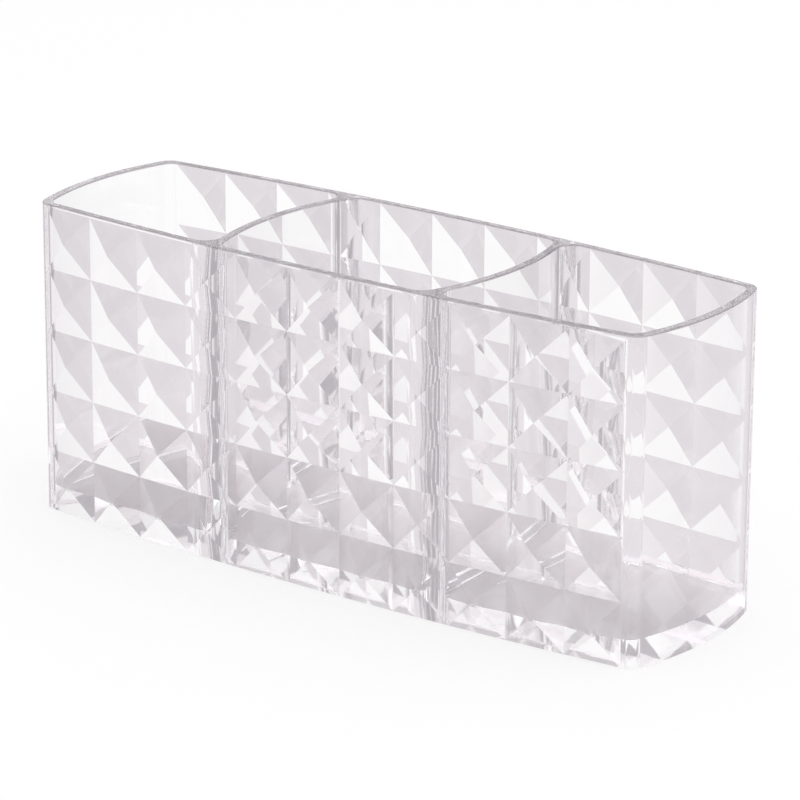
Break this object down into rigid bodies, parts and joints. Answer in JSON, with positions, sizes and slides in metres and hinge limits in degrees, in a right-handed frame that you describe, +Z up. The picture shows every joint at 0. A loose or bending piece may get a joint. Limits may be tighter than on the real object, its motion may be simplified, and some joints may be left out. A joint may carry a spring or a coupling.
{
  "type": "makeup brush holder",
  "caption": "Clear oblong holder with open cells in a row for makeup brushes, bowed walls and a diamond-faceted relief on its long sides.",
  "frame": {"origin": "middle of the footprint, on the surface that the holder stands on", "axes": "+X along the row of cells, -Y to the front, +Z up"},
  "size_m": [0.2336, 0.078, 0.1],
  "materials": {
    "clear_plastic": "clear, colourless plastic with a faint lilac tint and polished faces"
  },
  "bodies": {
    "root": {"front_left_panel": "clear_plastic", "front_centre_panel": "clear_plastic", "front_right_panel": "clear_plastic", "back_left_panel": "clear_plastic", "back_centre_panel": "clear_plastic", "back_right_panel": "clear_plastic", "left_divider": "clear_plastic", "right_divider": "clear_plastic", "left_end_wall": "clear_plastic", "right_end_wall": "clear_plastic", "left_floor": "clear_plastic", "centre_floor": "clear_plastic", "right_floor": "clear_plastic"}
  },
  "joints": []
}
